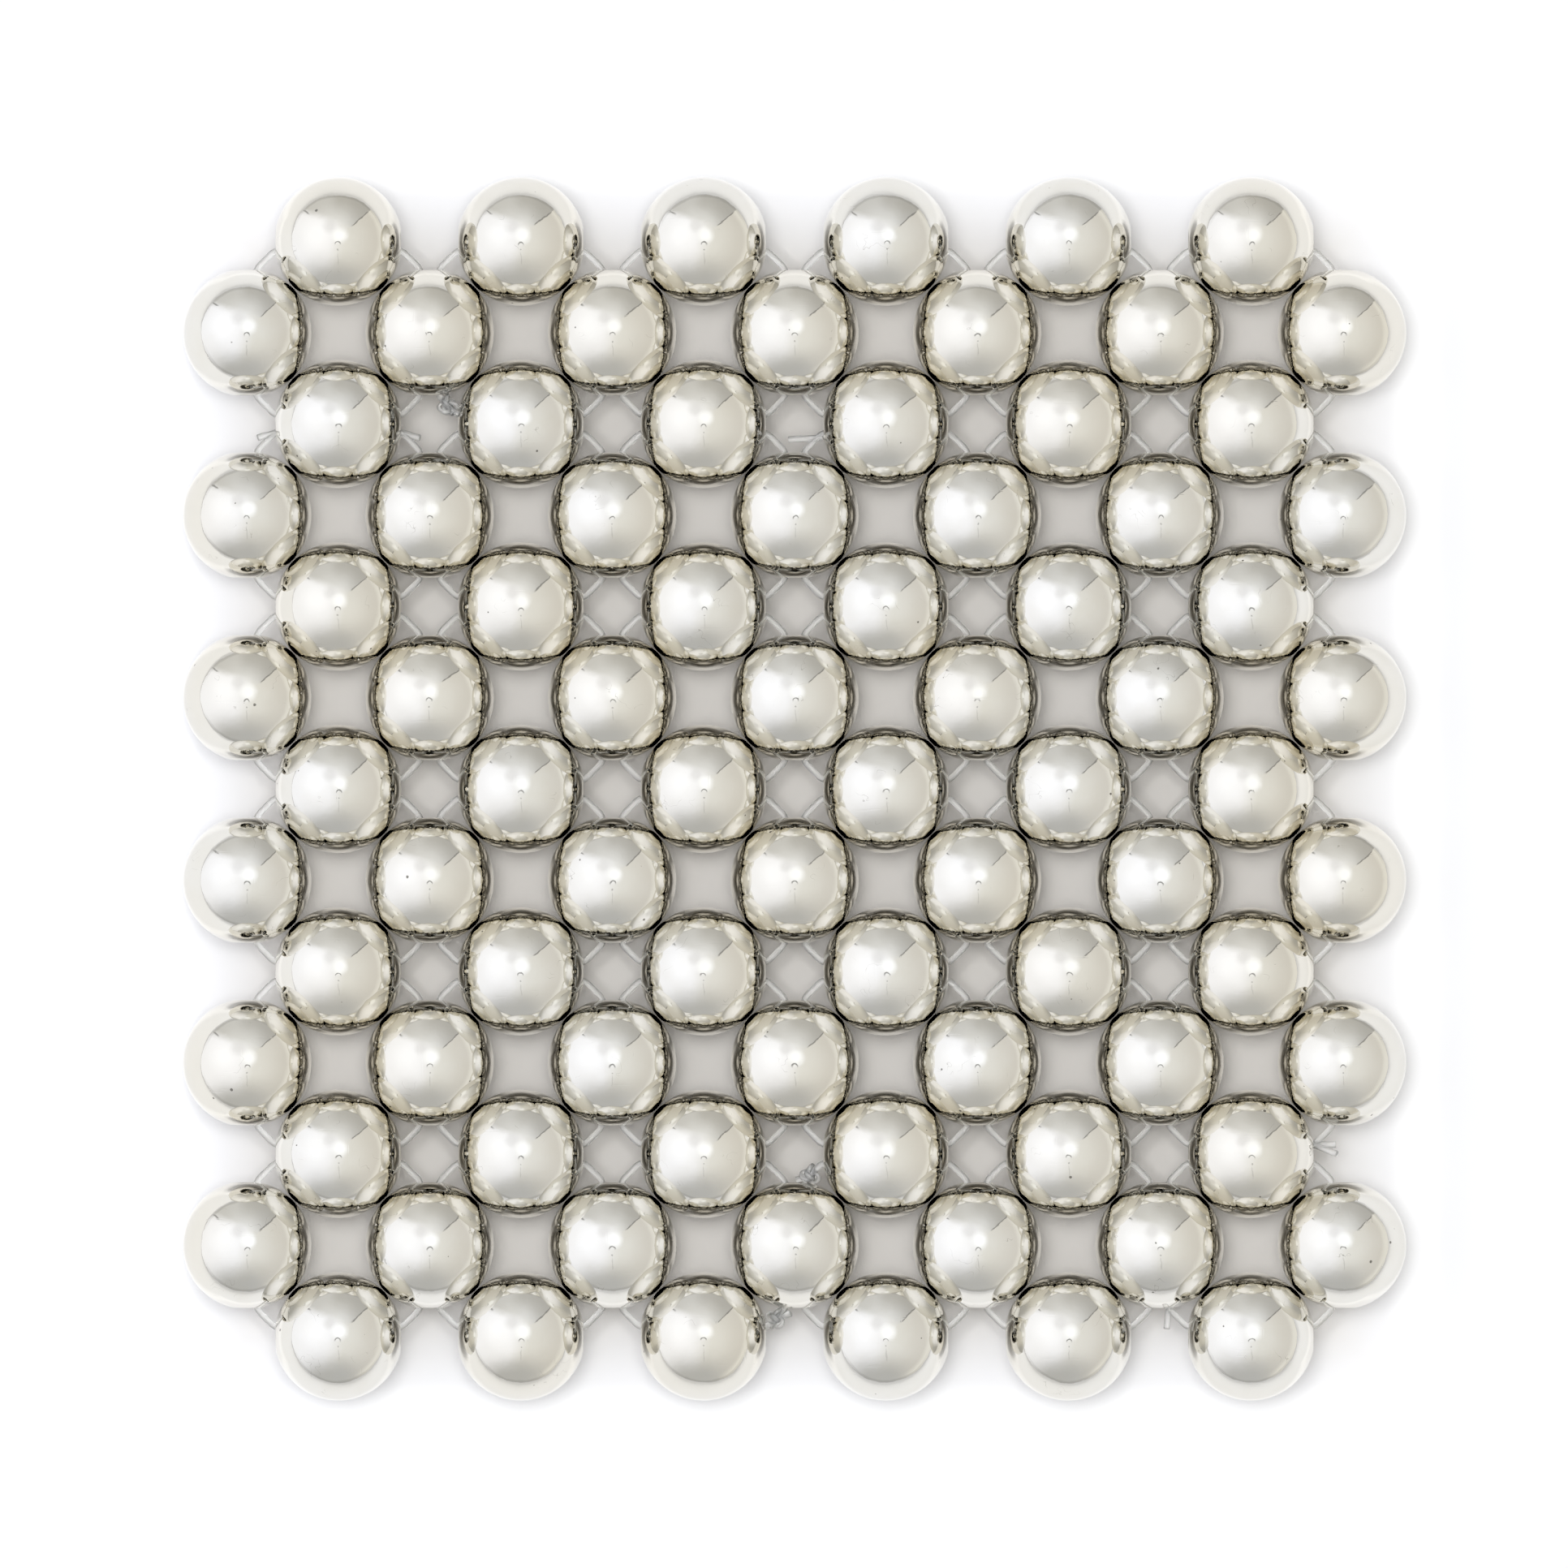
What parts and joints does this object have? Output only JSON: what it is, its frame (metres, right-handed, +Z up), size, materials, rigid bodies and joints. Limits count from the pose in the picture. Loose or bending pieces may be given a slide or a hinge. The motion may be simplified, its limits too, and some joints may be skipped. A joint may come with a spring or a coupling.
{
  "type": "beaded coaster",
  "caption": "Square openwork coaster of round silver beads woven edge to edge on clear nylon line; its rows fold about the seams of beads, and beads turn on the line.",
  "frame": {"origin": "centre of the mat's square, on the surface it lies on", "axes": "+Z up through the mat's thickness; +X along the seams that it folds about; +Y across the rows, from seam 0 to seam 6"},
  "size_m": [0.0972, 0.0972, 0.0102],
  "materials": {
    "silver_plated_bead": "polished",
    "clear_nylon_line": "gloss"
  },
  "bodies": {
    "woven_row_1": {"woven_row_1": "silver_plated_bead"},
    "woven_row_2": {"woven_row_2": "silver_plated_bead"},
    "woven_row_3": {"woven_row_3": "silver_plated_bead"},
    "woven_row_4": {"woven_row_4": "silver_plated_bead"},
    "woven_row_5": {"woven_row_5": "silver_plated_bead"},
    "woven_row_6": {"woven_row_6": "silver_plated_bead"},
    "row_1_left_bead": {"row_1_left_bead": "silver_plated_bead"},
    "row_1_right_bead": {"row_1_right_bead": "silver_plated_bead"},
    "row_2_left_bead": {"row_2_left_bead": "silver_plated_bead"},
    "row_2_right_bead": {"row_2_right_bead": "silver_plated_bead"},
    "row_3_left_bead": {"row_3_left_bead": "silver_plated_bead"},
    "row_3_right_bead": {"row_3_right_bead": "silver_plated_bead"},
    "row_4_left_bead": {"row_4_left_bead": "silver_plated_bead"},
    "row_4_right_bead": {"row_4_right_bead": "silver_plated_bead"},
    "row_5_left_bead": {"row_5_left_bead": "silver_plated_bead"},
    "row_5_right_bead": {"row_5_right_bead": "silver_plated_bead"},
    "row_6_left_bead": {"row_6_left_bead": "silver_plated_bead"},
    "row_6_right_bead": {"row_6_right_bead": "silver_plated_bead"},
    "seam_0_bead_1": {"seam_0_bead_1": "silver_plated_bead"},
    "seam_0_bead_2": {"seam_0_bead_2": "silver_plated_bead"},
    "seam_0_bead_3": {"seam_0_bead_3": "silver_plated_bead"},
    "seam_0_bead_4": {"seam_0_bead_4": "silver_plated_bead"},
    "seam_0_bead_5": {"seam_0_bead_5": "silver_plated_bead"},
    "seam_0_bead_6": {"seam_0_bead_6": "silver_plated_bead"},
    "seam_1_bead_1": {"seam_1_bead_1": "silver_plated_bead"},
    "seam_1_bead_2": {"seam_1_bead_2": "silver_plated_bead"},
    "seam_1_bead_3": {"seam_1_bead_3": "silver_plated_bead"},
    "seam_1_bead_4": {"seam_1_bead_4": "silver_plated_bead"},
    "seam_1_bead_5": {"seam_1_bead_5": "silver_plated_bead"},
    "seam_1_bead_6": {"seam_1_bead_6": "silver_plated_bead"},
    "seam_2_bead_1": {"seam_2_bead_1": "silver_plated_bead"},
    "seam_2_bead_2": {"seam_2_bead_2": "silver_plated_bead"},
    "seam_2_bead_3": {"seam_2_bead_3": "silver_plated_bead"},
    "seam_2_bead_4": {"seam_2_bead_4": "silver_plated_bead"},
    "seam_2_bead_5": {"seam_2_bead_5": "silver_plated_bead"},
    "seam_2_bead_6": {"seam_2_bead_6": "silver_plated_bead"},
    "seam_3_bead_1": {"seam_3_bead_1": "silver_plated_bead"},
    "seam_3_bead_2": {"seam_3_bead_2": "silver_plated_bead"},
    "seam_3_bead_3": {"seam_3_bead_3": "silver_plated_bead"},
    "seam_3_bead_4": {"seam_3_bead_4": "silver_plated_bead"},
    "seam_3_bead_5": {"seam_3_bead_5": "silver_plated_bead"},
    "seam_3_bead_6": {"seam_3_bead_6": "silver_plated_bead"},
    "seam_4_bead_1": {"seam_4_bead_1": "silver_plated_bead"},
    "seam_4_bead_2": {"seam_4_bead_2": "silver_plated_bead"},
    "seam_4_bead_3": {"seam_4_bead_3": "silver_plated_bead"},
    "seam_4_bead_4": {"seam_4_bead_4": "silver_plated_bead"},
    "seam_4_bead_5": {"seam_4_bead_5": "silver_plated_bead"},
    "seam_4_bead_6": {"seam_4_bead_6": "silver_plated_bead"},
    "seam_5_bead_1": {"seam_5_bead_1": "silver_plated_bead"},
    "seam_5_bead_2": {"seam_5_bead_2": "silver_plated_bead"},
    "seam_5_bead_3": {"seam_5_bead_3": "silver_plated_bead"},
    "seam_5_bead_4": {"seam_5_bead_4": "silver_plated_bead"},
    "seam_5_bead_5": {"seam_5_bead_5": "silver_plated_bead"},
    "seam_5_bead_6": {"seam_5_bead_6": "silver_plated_bead"},
    "seam_6_bead_1": {"seam_6_bead_1": "silver_plated_bead"},
    "seam_6_bead_2": {"seam_6_bead_2": "silver_plated_bead"},
    "seam_6_bead_3": {"seam_6_bead_3": "silver_plated_bead"},
    "seam_6_bead_4": {"seam_6_bead_4": "silver_plated_bead"},
    "seam_6_bead_5": {"seam_6_bead_5": "silver_plated_bead"},
    "seam_6_bead_6": {"seam_6_bead_6": "silver_plated_bead"}
  },
  "joints": [
    {"name": "fold_seam_3", "type": "hinge", "parent": "woven_row_3", "child": "woven_row_4", "pos_m": [0, 0, 0.00511], "axis": [1, 0, 0], "range_deg": [-50, 50]},
    {"name": "fold_seam_4", "type": "hinge", "parent": "woven_row_4", "child": "woven_row_5", "pos_m": [0, 0.0145, 0.00511], "axis": [1, 0, 0], "range_deg": [-50, 50]},
    {"name": "fold_seam_5", "type": "hinge", "parent": "woven_row_5", "child": "woven_row_6", "pos_m": [0, 0.029, 0.00511], "axis": [1, 0, 0], "range_deg": [-50, 50]},
    {"name": "fold_seam_2", "type": "hinge", "parent": "woven_row_3", "child": "woven_row_2", "pos_m": [0, -0.0145, 0.00511], "axis": [-1, 0, 0], "range_deg": [-50, 50]},
    {"name": "fold_seam_1", "type": "hinge", "parent": "woven_row_2", "child": "woven_row_1", "pos_m": [0, -0.029, 0.00511], "axis": [-1, 0, 0], "range_deg": [-50, 50]},
    {"name": "spin_seam_0_bead_1", "type": "hinge", "parent": "woven_row_1", "child": "seam_0_bead_1", "pos_m": [-0.03625, -0.0435, 0.00511], "axis": [1, 0, 0], "continuous": true},
    {"name": "spin_seam_0_bead_2", "type": "hinge", "parent": "woven_row_1", "child": "seam_0_bead_2", "pos_m": [-0.02175, -0.0435, 0.00511], "axis": [1, 0, 0], "continuous": true},
    {"name": "spin_seam_0_bead_3", "type": "hinge", "parent": "woven_row_1", "child": "seam_0_bead_3", "pos_m": [-0.00725, -0.0435, 0.00511], "axis": [1, 0, 0], "continuous": true},
    {"name": "spin_seam_0_bead_4", "type": "hinge", "parent": "woven_row_1", "child": "seam_0_bead_4", "pos_m": [0.00725, -0.0435, 0.00511], "axis": [1, 0, 0], "continuous": true},
    {"name": "spin_seam_0_bead_5", "type": "hinge", "parent": "woven_row_1", "child": "seam_0_bead_5", "pos_m": [0.02175, -0.0435, 0.00511], "axis": [1, 0, 0], "continuous": true},
    {"name": "spin_seam_0_bead_6", "type": "hinge", "parent": "woven_row_1", "child": "seam_0_bead_6", "pos_m": [0.03625, -0.0435, 0.00511], "axis": [1, 0, 0], "continuous": true},
    {"name": "spin_seam_1_bead_1", "type": "hinge", "parent": "woven_row_2", "child": "seam_1_bead_1", "pos_m": [-0.03625, -0.029, 0.00511], "axis": [1, 0, 0], "continuous": true},
    {"name": "spin_seam_1_bead_2", "type": "hinge", "parent": "woven_row_2", "child": "seam_1_bead_2", "pos_m": [-0.02175, -0.029, 0.00511], "axis": [1, 0, 0], "continuous": true},
    {"name": "spin_seam_1_bead_3", "type": "hinge", "parent": "woven_row_2", "child": "seam_1_bead_3", "pos_m": [-0.00725, -0.029, 0.00511], "axis": [1, 0, 0], "continuous": true},
    {"name": "spin_seam_1_bead_4", "type": "hinge", "parent": "woven_row_2", "child": "seam_1_bead_4", "pos_m": [0.00725, -0.029, 0.00511], "axis": [1, 0, 0], "continuous": true},
    {"name": "spin_seam_1_bead_5", "type": "hinge", "parent": "woven_row_2", "child": "seam_1_bead_5", "pos_m": [0.02175, -0.029, 0.00511], "axis": [1, 0, 0], "continuous": true},
    {"name": "spin_seam_1_bead_6", "type": "hinge", "parent": "woven_row_2", "child": "seam_1_bead_6", "pos_m": [0.03625, -0.029, 0.00511], "axis": [1, 0, 0], "continuous": true},
    {"name": "spin_seam_2_bead_1", "type": "hinge", "parent": "woven_row_3", "child": "seam_2_bead_1", "pos_m": [-0.03625, -0.0145, 0.00511], "axis": [1, 0, 0], "continuous": true},
    {"name": "spin_seam_2_bead_2", "type": "hinge", "parent": "woven_row_3", "child": "seam_2_bead_2", "pos_m": [-0.02175, -0.0145, 0.00511], "axis": [1, 0, 0], "continuous": true},
    {"name": "spin_seam_2_bead_3", "type": "hinge", "parent": "woven_row_3", "child": "seam_2_bead_3", "pos_m": [-0.00725, -0.0145, 0.00511], "axis": [1, 0, 0], "continuous": true},
    {"name": "spin_seam_2_bead_4", "type": "hinge", "parent": "woven_row_3", "child": "seam_2_bead_4", "pos_m": [0.00725, -0.0145, 0.00511], "axis": [1, 0, 0], "continuous": true},
    {"name": "spin_seam_2_bead_5", "type": "hinge", "parent": "woven_row_3", "child": "seam_2_bead_5", "pos_m": [0.02175, -0.0145, 0.00511], "axis": [1, 0, 0], "continuous": true},
    {"name": "spin_seam_2_bead_6", "type": "hinge", "parent": "woven_row_3", "child": "seam_2_bead_6", "pos_m": [0.03625, -0.0145, 0.00511], "axis": [1, 0, 0], "continuous": true},
    {"name": "spin_seam_3_bead_1", "type": "hinge", "parent": "woven_row_3", "child": "seam_3_bead_1", "pos_m": [-0.03625, 0, 0.00511], "axis": [1, 0, 0], "continuous": true},
    {"name": "spin_seam_3_bead_2", "type": "hinge", "parent": "woven_row_3", "child": "seam_3_bead_2", "pos_m": [-0.02175, 0, 0.00511], "axis": [1, 0, 0], "continuous": true},
    {"name": "spin_seam_3_bead_3", "type": "hinge", "parent": "woven_row_3", "child": "seam_3_bead_3", "pos_m": [-0.00725, 0, 0.00511], "axis": [1, 0, 0], "continuous": true},
    {"name": "spin_seam_3_bead_4", "type": "hinge", "parent": "woven_row_3", "child": "seam_3_bead_4", "pos_m": [0.00725, 0, 0.00511], "axis": [1, 0, 0], "continuous": true},
    {"name": "spin_seam_3_bead_5", "type": "hinge", "parent": "woven_row_3", "child": "seam_3_bead_5", "pos_m": [0.02175, 0, 0.00511], "axis": [1, 0, 0], "continuous": true},
    {"name": "spin_seam_3_bead_6", "type": "hinge", "parent": "woven_row_3", "child": "seam_3_bead_6", "pos_m": [0.03625, 0, 0.00511], "axis": [1, 0, 0], "continuous": true},
    {"name": "spin_seam_4_bead_1", "type": "hinge", "parent": "woven_row_4", "child": "seam_4_bead_1", "pos_m": [-0.03625, 0.0145, 0.00511], "axis": [1, 0, 0], "continuous": true},
    {"name": "spin_seam_4_bead_2", "type": "hinge", "parent": "woven_row_4", "child": "seam_4_bead_2", "pos_m": [-0.02175, 0.0145, 0.00511], "axis": [1, 0, 0], "continuous": true},
    {"name": "spin_seam_4_bead_3", "type": "hinge", "parent": "woven_row_4", "child": "seam_4_bead_3", "pos_m": [-0.00725, 0.0145, 0.00511], "axis": [1, 0, 0], "continuous": true},
    {"name": "spin_seam_4_bead_4", "type": "hinge", "parent": "woven_row_4", "child": "seam_4_bead_4", "pos_m": [0.00725, 0.0145, 0.00511], "axis": [1, 0, 0], "continuous": true},
    {"name": "spin_seam_4_bead_5", "type": "hinge", "parent": "woven_row_4", "child": "seam_4_bead_5", "pos_m": [0.02175, 0.0145, 0.00511], "axis": [1, 0, 0], "continuous": true},
    {"name": "spin_seam_4_bead_6", "type": "hinge", "parent": "woven_row_4", "child": "seam_4_bead_6", "pos_m": [0.03625, 0.0145, 0.00511], "axis": [1, 0, 0], "continuous": true},
    {"name": "spin_seam_5_bead_1", "type": "hinge", "parent": "woven_row_5", "child": "seam_5_bead_1", "pos_m": [-0.03625, 0.029, 0.00511], "axis": [1, 0, 0], "continuous": true},
    {"name": "spin_seam_5_bead_2", "type": "hinge", "parent": "woven_row_5", "child": "seam_5_bead_2", "pos_m": [-0.02175, 0.029, 0.00511], "axis": [1, 0, 0], "continuous": true},
    {"name": "spin_seam_5_bead_3", "type": "hinge", "parent": "woven_row_5", "child": "seam_5_bead_3", "pos_m": [-0.00725, 0.029, 0.00511], "axis": [1, 0, 0], "continuous": true},
    {"name": "spin_seam_5_bead_4", "type": "hinge", "parent": "woven_row_5", "child": "seam_5_bead_4", "pos_m": [0.00725, 0.029, 0.00511], "axis": [1, 0, 0], "continuous": true},
    {"name": "spin_seam_5_bead_5", "type": "hinge", "parent": "woven_row_5", "child": "seam_5_bead_5", "pos_m": [0.02175, 0.029, 0.00511], "axis": [1, 0, 0], "continuous": true},
    {"name": "spin_seam_5_bead_6", "type": "hinge", "parent": "woven_row_5", "child": "seam_5_bead_6", "pos_m": [0.03625, 0.029, 0.00511], "axis": [1, 0, 0], "continuous": true},
    {"name": "spin_seam_6_bead_1", "type": "hinge", "parent": "woven_row_6", "child": "seam_6_bead_1", "pos_m": [-0.03625, 0.0435, 0.00511], "axis": [1, 0, 0], "continuous": true},
    {"name": "spin_seam_6_bead_2", "type": "hinge", "parent": "woven_row_6", "child": "seam_6_bead_2", "pos_m": [-0.02175, 0.0435, 0.00511], "axis": [1, 0, 0], "continuous": true},
    {"name": "spin_seam_6_bead_3", "type": "hinge", "parent": "woven_row_6", "child": "seam_6_bead_3", "pos_m": [-0.00725, 0.0435, 0.00511], "axis": [1, 0, 0], "continuous": true},
    {"name": "spin_seam_6_bead_4", "type": "hinge", "parent": "woven_row_6", "child": "seam_6_bead_4", "pos_m": [0.00725, 0.0435, 0.00511], "axis": [1, 0, 0], "continuous": true},
    {"name": "spin_seam_6_bead_5", "type": "hinge", "parent": "woven_row_6", "child": "seam_6_bead_5", "pos_m": [0.02175, 0.0435, 0.00511], "axis": [1, 0, 0], "continuous": true},
    {"name": "spin_seam_6_bead_6", "type": "hinge", "parent": "woven_row_6", "child": "seam_6_bead_6", "pos_m": [0.03625, 0.0435, 0.00511], "axis": [1, 0, 0], "continuous": true},
    {"name": "spin_row_1_left_bead", "type": "hinge", "parent": "woven_row_1", "child": "row_1_left_bead", "pos_m": [-0.0435, -0.03625, 0.00511], "axis": [0, 1, 0], "continuous": true},
    {"name": "spin_row_1_right_bead", "type": "hinge", "parent": "woven_row_1", "child": "row_1_right_bead", "pos_m": [0.0435, -0.03625, 0.00511], "axis": [0, 1, 0], "continuous": true},
    {"name": "spin_row_2_left_bead", "type": "hinge", "parent": "woven_row_2", "child": "row_2_left_bead", "pos_m": [-0.0435, -0.02175, 0.00511], "axis": [0, 1, 0], "continuous": true},
    {"name": "spin_row_2_right_bead", "type": "hinge", "parent": "woven_row_2", "child": "row_2_right_bead", "pos_m": [0.0435, -0.02175, 0.00511], "axis": [0, 1, 0], "continuous": true},
    {"name": "spin_row_3_left_bead", "type": "hinge", "parent": "woven_row_3", "child": "row_3_left_bead", "pos_m": [-0.0435, -0.00725, 0.00511], "axis": [0, 1, 0], "continuous": true},
    {"name": "spin_row_3_right_bead", "type": "hinge", "parent": "woven_row_3", "child": "row_3_right_bead", "pos_m": [0.0435, -0.00725, 0.00511], "axis": [0, 1, 0], "continuous": true},
    {"name": "spin_row_4_left_bead", "type": "hinge", "parent": "woven_row_4", "child": "row_4_left_bead", "pos_m": [-0.0435, 0.00725, 0.00511], "axis": [0, 1, 0], "continuous": true},
    {"name": "spin_row_4_right_bead", "type": "hinge", "parent": "woven_row_4", "child": "row_4_right_bead", "pos_m": [0.0435, 0.00725, 0.00511], "axis": [0, 1, 0], "continuous": true},
    {"name": "spin_row_5_left_bead", "type": "hinge", "parent": "woven_row_5", "child": "row_5_left_bead", "pos_m": [-0.0435, 0.02175, 0.00511], "axis": [0, 1, 0], "continuous": true},
    {"name": "spin_row_5_right_bead", "type": "hinge", "parent": "woven_row_5", "child": "row_5_right_bead", "pos_m": [0.0435, 0.02175, 0.00511], "axis": [0, 1, 0], "continuous": true},
    {"name": "spin_row_6_left_bead", "type": "hinge", "parent": "woven_row_6", "child": "row_6_left_bead", "pos_m": [-0.0435, 0.03625, 0.00511], "axis": [0, 1, 0], "continuous": true},
    {"name": "spin_row_6_right_bead", "type": "hinge", "parent": "woven_row_6", "child": "row_6_right_bead", "pos_m": [0.0435, 0.03625, 0.00511], "axis": [0, 1, 0], "continuous": true}
  ]
}
